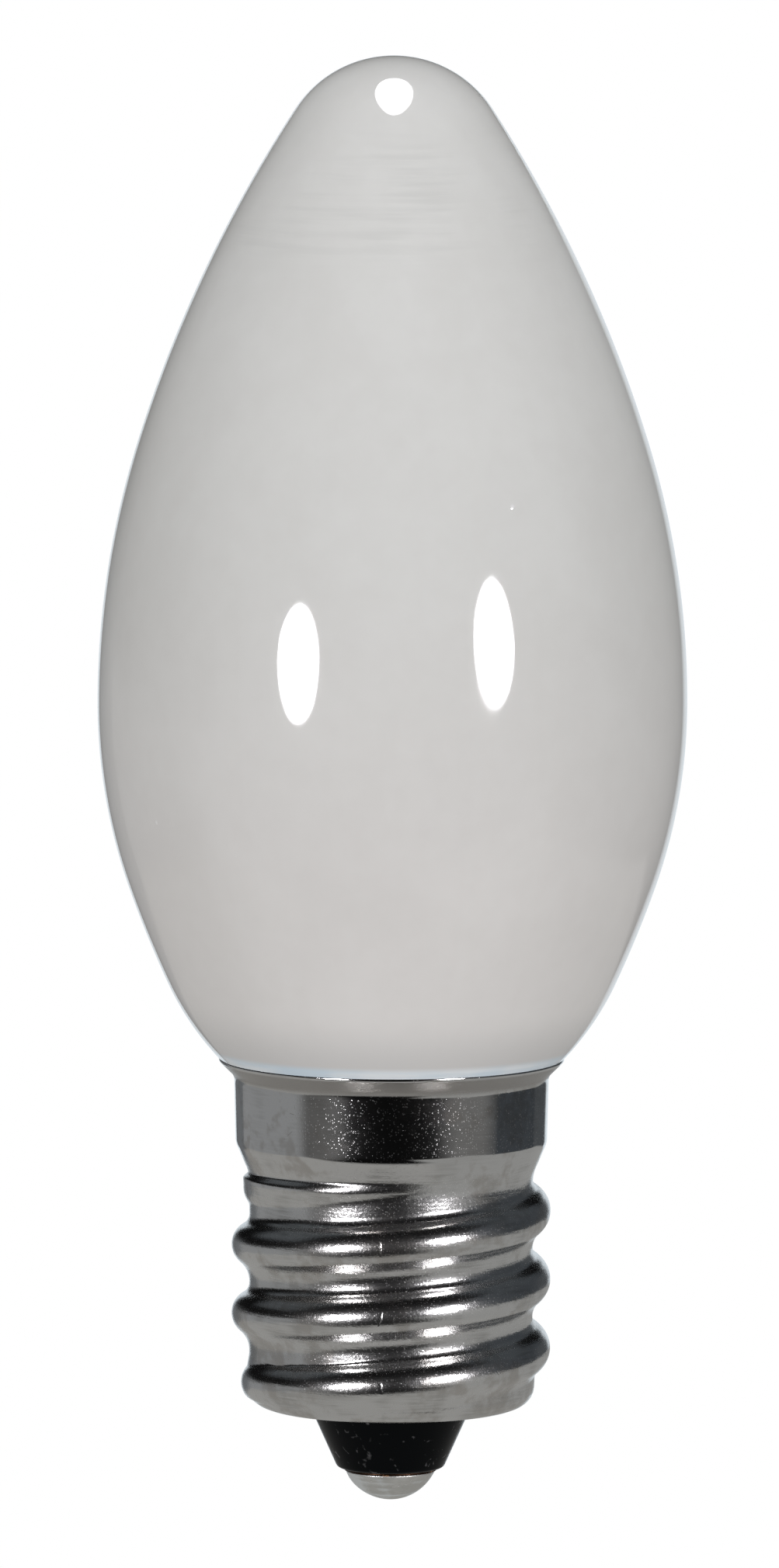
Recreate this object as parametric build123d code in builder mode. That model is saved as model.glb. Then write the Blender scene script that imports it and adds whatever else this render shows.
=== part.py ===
from build123d import *
from math import acos, asin, atan2, ceil, cos, degrees, radians, sin, tan
import os

# LED candelabra bulb, upright: the tip of the centre contact is the origin and the globe points up.

# Driving dimensions in mm: the bulb as a whole
overall_length = 53.0
fit = 0.05

# Globe
globe_diameter = 21.5
belly_radius = 18.9
apex_radius = 3.9
span_length = 3.4

# Screw shell
sheet = 0.22
core_diameter = 10.34
collar_diameter = 11.38
rim_diameter = 12.6
bend_angle = 45.0
core_height = 8.8
collar_height = 2.6
corner_break = 0.35

# Thread of the shell, with its depths measured out from the core
thread_pitch = 2.54
thread_depth = 0.63
thread_width = 2.1
crest_width = 0.34
shoulder_depth = 0.42
shoulder_width = 1.04
thread_root = 0.05
thread_height = 2.17
first_full_turn = -0.25
last_full_turn = 2.0
fade_in_turns = 0.45
fade_out_turns = 0.9

# Insulator
insulator_drop = 2.3
insulator_diameter = 5.96
insulator_face_diameter = 3.9
insulator_edge_break = 0.12
insulator_flange_height = 1.2

# Centre contact
solder_height = 1.08
solder_diameter = 3.2
plug_length = 1.0
eyelet_sheet = 0.12
eyelet_flange_diameter = 3.5
eyelet_barrel_diameter = 1.5
eyelet_lip_diameter = 2.3

# Heights above the contact tip that the sizes give
insulator_face = solder_height + eyelet_sheet
shell_bottom = insulator_face + insulator_drop
shell_floor = shell_bottom + sheet
flange_top = shell_floor + insulator_flange_height
bend = radians(bend_angle)
step_base = shell_bottom + core_height
collar_base = step_base + (collar_diameter - core_diameter) / 2 / tan(bend)
flare_base = collar_base + collar_height
rim_height = flare_base + (rim_diameter - collar_diameter) / 2 / tan(bend)
thread_zero = shell_bottom + thread_height


def wall_line(inset):
    """Corners of the shell's wall from its bottom to its rim, at a depth below the outer surface."""
    rise = inset * tan(bend / 2)
    core = core_diameter / 2 - inset
    collar = collar_diameter / 2 - inset
    return [
        (core, shell_bottom + inset),
        (core, step_base + rise),
        (collar, collar_base + rise),
        (collar, flare_base + rise),
        (rim_diameter / 2 - inset * cos(bend), rim_height + inset * sin(bend)),
    ]


def thread_stretch(first_turn, last_turn, first_sink, last_sink):
    """One stretch of the rolled ridge, sunk into the core by a depth at each end.

    Turns are counted from +X, where turn 0 has its crest at the height thread_zero.
    """
    rise = thread_pitch * (last_turn - first_turn)
    taper = degrees(atan2(first_sink - last_sink, rise))
    core = core_diameter / 2 - first_sink
    outward = Vector(1, 0, 0).rotate(Axis.Z, 360 * first_turn)
    base = (0, 0, thread_zero + thread_pitch * first_turn)
    with BuildSketch(Plane(base, x_dir=outward, z_dir=outward.rotate(Axis.Z, -90))) as section:
        with BuildLine():
            half = [
                (core - thread_root, thread_width / 2),
                (core + shoulder_depth, shoulder_width / 2),
                (core + thread_depth, crest_width / 2),
            ]
            Polyline(*half, *((depth, -offset) for depth, offset in reversed(half)), close=True)
        make_face()
    helix = Helix(thread_pitch, rise, core, cone_angle=taper, mode=Mode.PRIVATE)
    path = Pos(*base) * Rot(0, 0, 360 * first_turn) * helix
    with BuildPart() as stretch:
        sweep(sections=section.sketch, path=path, is_frenet=True)
        split(bisect_by=Plane.XY.offset(shell_bottom + corner_break), keep=Keep.TOP)
    return stretch.part


def arc_spans(centre, radius, start, turn):
    """Edges of one arc in short spans, which keep the facets of the revolved globe few."""
    count = ceil(radius * radians(abs(turn)) / span_length)
    return [CenterArc(centre, radius, start + turn * i / count, turn / count) for i in range(count)]


# Screw shell: the wall as a solid core, the thread in three stretches, then the hollow
thread_sink = thread_depth + thread_root
stretches = [
    thread_stretch(first_full_turn - fade_in_turns, first_full_turn, thread_sink, 0),
    thread_stretch(first_full_turn, last_full_turn, 0, 0),
    thread_stretch(last_full_turn, last_full_turn + fade_out_turns, 0, thread_sink),
]
outer_wall = wall_line(0) + wall_line(sheet)[-1:]
inner_wall = wall_line(sheet)
with BuildPart() as screw_shell:
    with BuildSketch(Plane.XZ) as wall:
        with BuildLine():
            Polyline((0, outer_wall[0][1]), *outer_wall, (0, outer_wall[-1][1]), close=True)
        make_face()
        chamfer(wall.vertices().group_by(Axis.Y)[0].sort_by(Axis.X)[-1], corner_break)
    revolve(axis=Axis.Z)
    for stretch in stretches:
        add(stretch)
    with BuildSketch(Plane.XZ):
        with BuildLine():
            Polyline((0, inner_wall[0][1]), *inner_wall, (0, inner_wall[-1][1]), close=True)
        make_face()
    revolve(axis=Axis.Z, mode=Mode.SUBTRACT)
    with Locations((0, 0, shell_bottom)):
        Cylinder(
            insulator_diameter / 2 + fit,
            sheet,
            align=(Align.CENTER, Align.CENTER, Align.MIN),
            mode=Mode.SUBTRACT,
        )
screw_shell.part.label = "screw_shell"

# Globe: three tangent arcs over a neck that stands in the collar, seated on the flare by the fit
globe_radius = globe_diameter / 2
neck_radius = collar_diameter / 2 - sheet - fit
seat_radius, seat_height = inner_wall[3]
belly_offset = globe_radius - belly_radius
widest_height = seat_height + (belly_radius + fit - cos(bend) * (seat_radius - belly_offset)) / sin(bend)
neck_angle = degrees(acos((neck_radius - belly_offset) / belly_radius))
neck_bottom = inner_wall[1][1] + (neck_radius - inner_wall[1][0]) / tan(bend) + fit
crown_height = overall_length - apex_radius - widest_height
flank_radius = (globe_radius**2 + crown_height**2 - apex_radius**2) / (2 * (globe_radius - apex_radius))
flank_angle = degrees(asin(crown_height / (flank_radius - apex_radius)))
neck_top = widest_height - belly_radius * sin(radians(neck_angle))
# A line builder would join the spans of an arc again, so this outline is kept as loose edges.
globe_edges = [
    CenterArc((0, overall_length - apex_radius), apex_radius, 90, flank_angle - 90),
    *arc_spans((globe_radius - flank_radius, widest_height), flank_radius, flank_angle, -flank_angle),
    *arc_spans((belly_offset, widest_height), belly_radius, 0, -neck_angle),
    Line((neck_radius, neck_top), (neck_radius, neck_bottom)),
    Line((neck_radius, neck_bottom), (0, neck_bottom)),
    Line((0, neck_bottom), (0, overall_length)),
]
globe_section = Plane.XZ * Face(Wire(globe_edges))
with BuildPart() as globe:
    revolve(globe_section, axis=Axis.Z, clean=False)
globe.part.label = "globe"

# Insulator: a cone below the shell, with a flange that lies on the shell's floor inside
barrel_hole = eyelet_barrel_diameter / 2 + fit
with BuildPart() as insulator:
    with BuildSketch(Plane.XZ) as cone_section:
        with BuildLine():
            Polyline(
                (barrel_hole, insulator_face),
                (insulator_face_diameter / 2, insulator_face),
                (insulator_diameter / 2, shell_bottom),
                (insulator_diameter / 2, shell_floor),
                (core_diameter / 2 - sheet - fit, shell_floor),
                (core_diameter / 2 - sheet - fit, flange_top),
                (barrel_hole, flange_top),
                close=True,
            )
        make_face()
        chamfer(cone_section.vertices().group_by(Axis.Y)[0].sort_by(Axis.X)[-1], insulator_edge_break)
    revolve(axis=Axis.Z)
insulator.part.label = "insulator"

# Contact eyelet: a rivet with a flange under the insulator and a turned lip above its flange
barrel_outer = eyelet_barrel_diameter / 2
barrel_inner = barrel_outer - eyelet_sheet
with BuildPart() as contact_eyelet:
    with BuildSketch(Plane.XZ):
        with BuildLine():
            Polyline(
                (barrel_inner, solder_height),
                (eyelet_flange_diameter / 2, solder_height),
                (eyelet_flange_diameter / 2, insulator_face),
                (barrel_outer, insulator_face),
                (barrel_outer, flange_top),
                (eyelet_lip_diameter / 2, flange_top),
                (eyelet_lip_diameter / 2, flange_top + eyelet_sheet),
                (barrel_inner, flange_top + eyelet_sheet),
                close=True,
            )
        make_face()
    revolve(axis=Axis.Z)
contact_eyelet.part.label = "contact_eyelet"

# Solder tip: a dome under the eyelet, with a plug that closes its barrel
dome_base = solder_diameter / 2
with BuildPart() as solder_tip:
    with BuildSketch(Plane.XZ):
        with BuildLine():
            dome = TangentArc((0, 0), (dome_base, solder_height), tangent=(1, 0))
            Polyline(
                dome @ 1,
                (barrel_inner - fit, solder_height),
                (barrel_inner - fit, solder_height + plug_length),
                (0, solder_height + plug_length),
                dome @ 0,
            )
        make_face()
    revolve(axis=Axis.Z)
solder_tip.part.label = "solder_tip"

os.makedirs("parts", exist_ok=True)
for piece in (globe, screw_shell, insulator, contact_eyelet, solder_tip):
    export_step(piece.part, f"parts/{piece.part.label}.step")
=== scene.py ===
"""LED candelabra bulb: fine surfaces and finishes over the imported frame, with its studio and camera."""

import logging
import math
from dataclasses import dataclass
from enum import Enum

import bpy
import numpy as np
from mathutils import Matrix, Vector


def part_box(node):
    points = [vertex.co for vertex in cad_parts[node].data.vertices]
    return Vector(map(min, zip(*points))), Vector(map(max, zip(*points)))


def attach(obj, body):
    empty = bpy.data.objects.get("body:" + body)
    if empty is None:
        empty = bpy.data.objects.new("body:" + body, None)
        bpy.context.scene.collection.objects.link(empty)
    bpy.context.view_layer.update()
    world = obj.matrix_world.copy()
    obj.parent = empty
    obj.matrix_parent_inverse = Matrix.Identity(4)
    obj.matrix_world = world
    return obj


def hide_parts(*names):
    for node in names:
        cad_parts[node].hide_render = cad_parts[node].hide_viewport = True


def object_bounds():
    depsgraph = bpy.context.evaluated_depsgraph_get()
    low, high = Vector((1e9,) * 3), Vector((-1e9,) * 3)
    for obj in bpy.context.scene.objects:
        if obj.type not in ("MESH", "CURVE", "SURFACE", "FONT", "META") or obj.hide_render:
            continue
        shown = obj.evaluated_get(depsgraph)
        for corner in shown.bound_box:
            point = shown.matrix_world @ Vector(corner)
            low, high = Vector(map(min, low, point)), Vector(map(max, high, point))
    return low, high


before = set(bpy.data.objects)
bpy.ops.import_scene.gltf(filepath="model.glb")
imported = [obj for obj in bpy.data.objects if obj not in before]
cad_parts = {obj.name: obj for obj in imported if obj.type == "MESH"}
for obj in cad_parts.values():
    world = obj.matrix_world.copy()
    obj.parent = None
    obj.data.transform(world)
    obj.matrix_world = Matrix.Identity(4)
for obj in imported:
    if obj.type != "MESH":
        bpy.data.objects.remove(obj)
CAD_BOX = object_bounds()

MM = 0.001
BODY = "root"
GLOBE_PIECE = "white_globe"
RISING = (0.0, 1.0)
FALLING = (1.0, 0.0)
WHITE = (1.0, 1.0, 1.0, 1.0)
log = logging.getLogger("bulb")

Span = tuple[float, float]
Point = tuple[float, float, float]
Colour = tuple[float, float, float, float]
Tree = bpy.types.NodeTree
Socket = bpy.types.NodeSocket
Value = Socket | float | Colour
Inputs = dict[str | int, Value]


class Slot(Enum):
    """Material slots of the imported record."""

    WHITE_GLASS = "white_glass"
    NICKEL_PLATE = "nickel_plate"
    BLACK_INSULATOR = "black_insulator"
    EYELET_BRASS = "eyelet_brass"
    SOLDER = "solder"


class Ends(Enum):
    """How the first and last rows of a turned surface are closed."""

    POLES = "each end row is one point on the axis"
    LOOP = "the last row joins the first"


def node_span(node: str) -> Span:
    """Read how high a CAD node reaches.

    Args:
        node: name of the CAD node.

    Returns:
        Its lowest and its highest height, in mm.
    """
    low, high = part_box(node)
    return low.z / MM, high.z / MM


def smooth_step(value: np.ndarray, low: float, high: float) -> np.ndarray:
    """Ease from 0 at low to 1 at high: 3 s squared less 2 s cubed, with s the share of the way.

    Args:
        value: the values.
        low: where the step begins.
        high: where it ends.

    Returns:
        The eased values.
    """
    share = np.clip((value - low) / (high - low), 0, 1)
    return share * share * (3 - 2 * share)


def rounded_line(corners: list[Point], steps: int = 6) -> np.ndarray:
    """Trace a line through corners and round each inner corner with a tangent arc.

    An arc of radius f at a corner that turns by t starts f tan(t / 2) before the corner. It is drawn as
    the corner's two tangent points blended through the corner by the conic with weight cos(t / 2), which
    is an exact circle.

    Args:
        corners: radius from the axis, height and fillet radius of each corner, in mm.
        steps: spans in each arc.

    Returns:
        Points of the line, one row each, as radius and height.
    """
    spots = np.array([(r, z) for r, z, _ in corners])
    pieces = [spots[:1]]
    share = np.linspace(0, 1, steps + 1)[:, None]
    for before, here, after, (_, _, fillet) in zip(spots, spots[1:], spots[2:], corners[1:]):
        into = (here - before) / np.linalg.norm(here - before)
        out = (after - here) / np.linalg.norm(after - here)
        turn = math.acos(float(np.clip(into @ out, -1, 1)))
        reach = fillet * math.tan(turn / 2)
        first = (1 - share) ** 2
        middle = 2 * math.cos(turn / 2) * share * (1 - share)
        last = share**2
        blend = first * (here - reach * into) + middle * here + last * (here + reach * out)
        pieces.append(blend / (first + middle + last))
    return np.concatenate([*pieces, spots[-1:]])


def subdivided(line: np.ndarray, longest: float) -> np.ndarray:
    """Cut the long spans of a line into equal parts.

    Args:
        line: points as radius and height, one row each.
        longest: largest span that is left whole, in mm.

    Returns:
        The same line with its own points and the new ones between them.
    """
    spans = np.linalg.norm(np.diff(line, axis=0), axis=1)
    parts = np.maximum(1, np.ceil(spans / longest)).astype(int)
    owner = np.repeat(np.arange(len(parts)), parts)
    step = np.arange(len(owner)) - np.repeat(np.cumsum(parts) - parts, parts)
    place = np.append(owner + step / parts[owner], len(parts))
    own = np.arange(len(line))
    return np.column_stack([np.interp(place, own, line[:, 0]), np.interp(place, own, line[:, 1])])


def arc_chain(start: Span, side: int, arcs: list[Span], step: float) -> np.ndarray:
    """Follow tangent arcs from the widest ring of a turned form, up or down, in towards the axis.

    With the slope s measured from the axis, an arc of radius R from slope s0 moves the point in by
    R (cos s0 - cos s) and along by R (sin s - sin s0).

    Args:
        start: radius and height of the widest ring, where the slope is 0.
        side: 1 to go up, -1 to go down.
        arcs: radius in mm and turn in degrees of each arc.
        step: largest turn between two points, in degrees.

    Returns:
        Points as radius and height, from the widest ring on.
    """
    points = [np.array([start])]
    slope = 0.0
    for radius, turn in arcs:
        first = math.radians(slope)
        slope += turn
        along = np.linspace(first, math.radians(slope), math.ceil(turn / step) + 1)[1:]
        r0, z0 = points[-1][-1]
        r = r0 - radius * (math.cos(first) - np.cos(along))
        z = z0 + side * radius * (np.sin(along) - math.sin(first))
        points.append(np.column_stack([r, z]))
    return np.concatenate(points)


def turned_grid(line: np.ndarray, columns: int) -> np.ndarray:
    """Carry a line once round the axis.

    The point at radius r, height z and angle a is (r cos a, r sin a, z), with a counted from +X.

    Args:
        line: points as radius and height.
        columns: steps round the axis.

    Returns:
        Radius, angle and height on a grid with a row for each point and a column for each step.
    """
    angle = np.linspace(0, 2 * math.pi, columns, endpoint=False)
    radius, angle = np.meshgrid(line[:, 0], angle, indexing="ij")
    height = np.broadcast_to(line[:, 1:2], radius.shape)
    return np.stack([radius, angle, height], axis=-1)


def skinned(name: str, grid: np.ndarray, ends: Ends) -> bpy.types.Mesh:
    """Put a turned grid into a smooth mesh, closed round the axis and at its ends.

    Quads join each row to the next and the last column to the first. With poles, the end rows are taken
    as their mean point, and a fan of triangles joins it to the row beside it.

    Args:
        name: name of the mesh.
        grid: radius, angle and height of each point, in mm and radians.
        ends: how the end rows are closed.

    Returns:
        The mesh, in metres.
    """
    radius, angle, height = np.moveaxis(grid, -1, 0)
    points = np.stack([radius * np.cos(angle), radius * np.sin(angle), height], axis=-1) * MM
    loop = ends is Ends.LOOP
    body = points if loop else points[1:-1]
    rows, columns = body.shape[:2]
    index = np.arange(rows * columns).reshape(rows, columns)
    low = index if loop else index[:-1]
    high = np.roll(index, -1, axis=0) if loop else index[1:]
    quads = np.stack([low, np.roll(low, -1, axis=1), np.roll(high, -1, axis=1), high], axis=-1)
    quads = quads.reshape(-1, 4)
    spots = body.reshape(-1, 3)
    fans = np.empty((0, 3), dtype=int)
    if not loop:
        spots = np.concatenate([spots, [points[0].mean(axis=0), points[-1].mean(axis=0)]])
        foot, top = index[0], index[-1]
        lower_pole = np.full(columns, rows * columns)
        under = np.stack([lower_pole, np.roll(foot, -1), foot], axis=-1)
        over = np.stack([top, np.roll(top, -1), lower_pole + 1], axis=-1)
        fans = np.concatenate([under, over])
    mesh = bpy.data.meshes.new(name)
    mesh.from_pydata(spots.tolist(), [], quads.tolist() + fans.tolist(), shade_flat=False)
    mesh.validate()
    return mesh


class Wiring:
    """Short calls that place and join the nodes of one tree."""

    def __init__(self, tree: Tree) -> None:
        """Keep the tree that the nodes go into."""
        self.tree = tree

    def feed(self, target: Socket, value: Value) -> None:
        """Join a socket to another one, or set it to a constant.

        Args:
            target: the socket that takes the value.
            value: a socket or a constant.
        """
        if isinstance(value, Socket):
            self.tree.links.new(value, target)
        else:
            target.default_value = value

    def node(self, kind: str, inputs: Inputs | None = None, **settings: object) -> bpy.types.Node:
        """Place a node and feed it.

        Args:
            kind: Blender's name of the node type.
            inputs: values by the input's name or number.
            settings: the node's own properties, which are set first.

        Returns:
            The new node.
        """
        made = self.tree.nodes.new(kind)
        for key, value in settings.items():
            setattr(made, key, value)
        for key, value in (inputs or {}).items():
            self.feed(made.inputs[key], value)
        return made

    def math(self, operation: str, *values: Value) -> Socket:
        """Work out one step of arithmetic on values in the order of the node's inputs."""
        return self.node("ShaderNodeMath", dict(enumerate(values)), operation=operation).outputs[0]

    def times(self, first: Value, second: Value) -> Socket:
        """Multiply two values."""
        return self.math("MULTIPLY", first, second)

    def opposite(self, share: Value) -> Socket:
        """Take a share from 1."""
        return self.math("SUBTRACT", 1.0, share)

    def between(self, share: Value, ends: Span) -> Socket:
        """Go evenly from one number to another as a share goes from 0 to 1."""
        return self.math("MULTIPLY_ADD", share, ends[1] - ends[0], ends[0])

    def eased(self, value: Value, over: tuple[Value, Value], ends: Span = RISING) -> Socket:
        """Ease a value over one range into another range, with a smooth step."""
        inputs = dict(enumerate((value, *over, *ends)))
        return self.node("ShaderNodeMapRange", inputs, interpolation_type="SMOOTHSTEP").outputs[0]

    def stretched(self, place: Socket, scale: Point, turn: Point = (0.0, 0.0, 0.0)) -> Socket:
        """Stretch coordinates by a factor on each axis and turn them by degrees about each."""
        inputs = {"Vector": place, "Scale": scale, "Rotation": [math.radians(angle) for angle in turn]}
        return self.node("ShaderNodeMapping", inputs).outputs[0]

    def axes(self, place: Socket, scale: float = 1.0) -> tuple[Socket, ...]:
        """Split coordinates, times a factor, into x, y and z."""
        scaled = self.stretched(place, (scale, scale, scale))
        return tuple(self.node("ShaderNodeSeparateXYZ", {0: scaled}).outputs)

    def noise(self, place: Socket, scale: Value, detail: float = 2.0, warp: float = 0.0) -> Socket:
        """Read soft noise from 0 to 1, with its octaves as detail and bent by the warp."""
        inputs = {"Vector": place, "Scale": scale, "Detail": detail, "Distortion": warp}
        return self.node("ShaderNodeTexNoise", inputs).outputs[0]

    def tint(self, share: Value, first: Value, second: Value) -> Socket:
        """Mix two colours, with a share of the second one."""
        inputs = {"Factor": share, "A": first, "B": second}
        return self.node("ShaderNodeMix", inputs, data_type="RGBA").outputs["Result"]

    def effect(self, group: Tree, place: Socket, **values: float) -> Socket:
        """Place a shared effect on coordinates, with its other inputs by name, and give its value."""
        return self.node("ShaderNodeGroup", {"Position": place, **values}, node_tree=group).outputs[0]

    def relief(self, *layers: tuple[Socket, float]) -> Socket:
        """Lay heights over each other and turn them into a normal.

        Args:
            layers: a height from 0 to 1 and its depth in mm, from the lowest layer up.

        Returns:
            The normal.
        """
        under = {}
        for height, depth in layers:
            made = self.node("ShaderNodeBump", {"Height": height, "Distance": depth * MM, **under})
            under = {"Normal": made.outputs[0]}
        return under["Normal"]


class Effects:
    """Shared shader groups, each built once and placed in several finishes."""

    BROAD_SHARE = 0.7
    FINER = 7.0
    TONE_OVER = (0.3, 0.7)
    SMALLEST_SPOT = 0.4
    STREAK_STRETCH = (1.0, 1.0, 18.0)
    STREAK_LEAD = 0.2
    STREAK_FULL = 0.8
    LEVEL = 0.5
    SCUFF_LAYS = (((1.0, 1.0, 0.3), (20.0, 35.0, 10.0)), ((0.3, 1.0, 1.0), (-50.0, 15.0, 65.0)))
    PATCH_SCALE = 1.7
    PATCH_EDGE = 0.1

    def __init__(self) -> None:
        """Build every group."""
        self.mottle = self._mottle()
        self.specks = self._specks()
        self.streaks = self._streaks()
        self.scratches = self._scratches()

    @staticmethod
    def _begin(name: str, output: str, **inputs: float) -> tuple[Wiring, list[Socket], Socket]:
        """Start a group that reads a position and some numbers and gives one value.

        Args:
            name: name of the group.
            output: name of the value that it gives.
            inputs: its numbers by name, with their usual values.

        Returns:
            The group's wiring, the position and numbers that it reads, and the socket of its value.
        """
        tree = bpy.data.node_groups.new(name, "ShaderNodeTree")
        tree.interface.new_socket("Position", in_out="INPUT", socket_type="NodeSocketVector")
        for key, value in inputs.items():
            number = tree.interface.new_socket(key, in_out="INPUT", socket_type="NodeSocketFloat")
            number.default_value = value
        tree.interface.new_socket(output, in_out="OUTPUT", socket_type="NodeSocketFloat")
        wires = Wiring(tree)
        given = list(wires.node("NodeGroupInput").outputs)[:len(inputs) + 1]
        return wires, given, wires.node("NodeGroupOutput").inputs[output]

    def _mottle(self) -> Tree:
        """Soft uneven tone: broad noise with finer noise on it.

        Returns:
            The group.
        """
        wires, (place, scale), result = self._begin("mottle", "Tone", Scale=300.0)
        broad = wires.times(wires.noise(place, scale, detail=3.0, warp=0.6), self.BROAD_SHARE)
        fine = wires.times(wires.noise(place, wires.times(scale, self.FINER)), 1 - self.BROAD_SHARE)
        wires.feed(result, wires.eased(wires.math("ADD", broad, fine), self.TONE_OVER))
        return wires.tree

    def _specks(self) -> Tree:
        """Small round spots: cells, of which a share hold a spot that fades from its middle.

        Returns:
            The group.
        """
        inputs = {"Scale": 8000.0, "Share": 0.3, "Radius": 0.35}
        wires, (place, scale, share, largest), result = self._begin("specks", "Mask", **inputs)
        cells = wires.node("ShaderNodeTexVoronoi", {"Vector": place, "Scale": scale}).outputs
        chance, size, _ = wires.node("ShaderNodeSeparateColor", {0: cells["Color"]}).outputs
        radius = wires.times(largest, wires.math("ADD", size, self.SMALLEST_SPOT))
        spot = wires.eased(cells["Distance"], (0.0, radius), FALLING)
        wires.feed(result, wires.times(spot, wires.math("LESS_THAN", chance, share)))
        return wires.tree

    def _streaks(self) -> Tree:
        """Marks that run round the axis: noise drawn out across it, broken up along its length.

        Returns:
            The group.
        """
        wires, (place, scale, gap), result = self._begin("streaks", "Height", Scale=400.0, Break=0.5)
        lines = wires.noise(wires.stretched(place, self.STREAK_STRETCH), scale, detail=4.0)
        begin = wires.math("SUBTRACT", gap, self.STREAK_LEAD)
        shown = wires.eased(wires.noise(place, scale), (begin, self.STREAK_FULL))
        wires.feed(result, wires.times(lines, shown))
        return wires.tree

    def _scratches(self) -> Tree:
        """Thin curved scuffs: level lines of two noises drawn out in two directions, kept in patches.

        Returns:
            The group.
        """
        inputs = {"Scale": 500.0, "Width": 0.02, "Cover": 0.5}
        wires, (place, scale, width, cover), result = self._begin("scratches", "Mask", **inputs)
        scuffs = []
        for stretch, turn in self.SCUFF_LAYS:
            drawn = wires.noise(wires.stretched(place, stretch, turn), scale, detail=1.0)
            away = wires.math("ABSOLUTE", wires.math("SUBTRACT", drawn, self.LEVEL))
            scuffs.append(wires.eased(away, (0.0, width), FALLING))
        patches = wires.noise(place, wires.times(scale, self.PATCH_SCALE), detail=3.0)
        shown = wires.eased(patches, (cover, wires.math("ADD", cover, self.PATCH_EDGE)))
        wires.feed(result, wires.times(wires.math("MAXIMUM", *scuffs), shown))
        return wires.tree


class Dressing(Wiring):
    """The nodes of one material, with its object coordinates in metres and the shared effects at hand."""

    def __init__(self, slot: Slot, effects: Effects) -> None:
        """Start the material.

        Args:
            slot: the record's slot that the finish belongs to.
            effects: the shared effects.
        """
        self.effects = effects
        self.material = bpy.data.materials.new(slot.value)
        self.material.use_nodes = True
        super().__init__(self.material.node_tree)
        self.place = self.node("ShaderNodeTexCoord").outputs["Object"]

    def shade(self, **values: Value) -> None:
        """Set inputs of the material's shader.

        Args:
            values: sockets or constants by the input's name, with _ for a space.
        """
        shader = self.tree.nodes["Principled BSDF"]
        for key, value in values.items():
            self.feed(shader.inputs[key.replace("_", " ")], value)


@dataclass(frozen=True)
class Finish:
    """A finish, which belongs to a slot of the record and lays the nodes of a material in its own way."""

    slot: Slot

    def dress(self, wires: Dressing) -> None:
        """Lay the nodes."""
        raise NotImplementedError


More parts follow.
